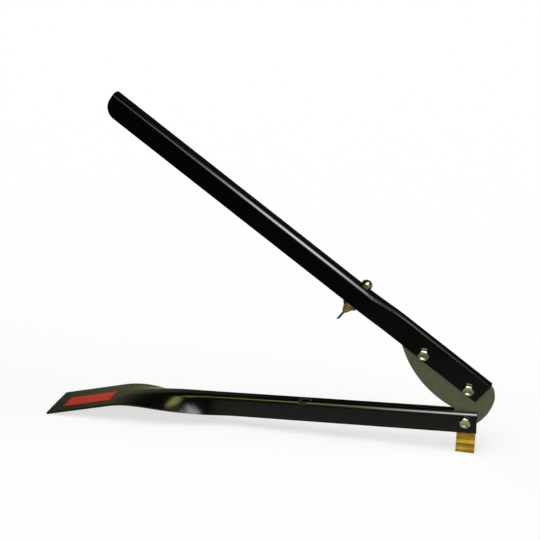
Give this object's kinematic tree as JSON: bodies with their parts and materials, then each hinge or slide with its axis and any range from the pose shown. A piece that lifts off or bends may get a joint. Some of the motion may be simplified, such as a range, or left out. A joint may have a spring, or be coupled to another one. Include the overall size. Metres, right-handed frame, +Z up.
{
  "type": "slate cutter",
  "caption": "Roofer's lever slate cutter: folded steel base arm with foot plate and foot, hinged lever carrying a curved blade that shears through a slot, and a pin punch.",
  "frame": {"origin": "on the floor straight under the lever's pivot, in the foot bracket's underside", "axes": "+Z up, +X along the tool towards the pivot end, +Y away from the side with the bolt heads"},
  "size_m": [0.6314, 0.0664, 0.4658],
  "materials": {
    "black_paint": "gloss black stove enamel on folded steel",
    "blade_steel": "ground tool steel, dull olive grey",
    "clear_zinc": "bright clear zinc plate",
    "yellow_zinc": "yellow passivated zinc plate",
    "black_oxide": "blackened steel, satin",
    "pin_steel": "hardened steel, brown black from heat treatment",
    "bronze": "plain bearing bronze, oiled",
    "nylon": "natural nylon",
    "red_vinyl": "red vinyl sticker, gloss, with no lettering"
  },
  "bodies": {
    "base": {"base_arm": "black_paint", "foot_bracket": "yellow_zinc", "pivot_bolt": "clear_zinc", "pivot_washer": "clear_zinc", "pivot_nut": "clear_zinc", "pivot_nut_insert": "nylon", "pivot_bush": "bronze", "thrust_washers": "clear_zinc", "plate_label": "red_vinyl"},
    "lever": {"lever_arm": "black_paint", "cutting_blade": "blade_steel", "blade_bolts": "clear_zinc", "blade_spring_washers": "clear_zinc", "blade_nuts": "clear_zinc", "punch_stud": "clear_zinc", "punch_lock_nut": "clear_zinc", "punch_lock_nut_insert": "nylon", "punch_saddle": "black_oxide", "punch_holder": "yellow_zinc", "punch_pin": "pin_steel"}
  },
  "joints": [
    {"name": "lever_pivot", "type": "hinge", "parent": "base", "child": "lever", "pos_m": [0, 0, 0.047], "axis": [0, 1, 0], "range_deg": [-38, 52]}
  ]
}
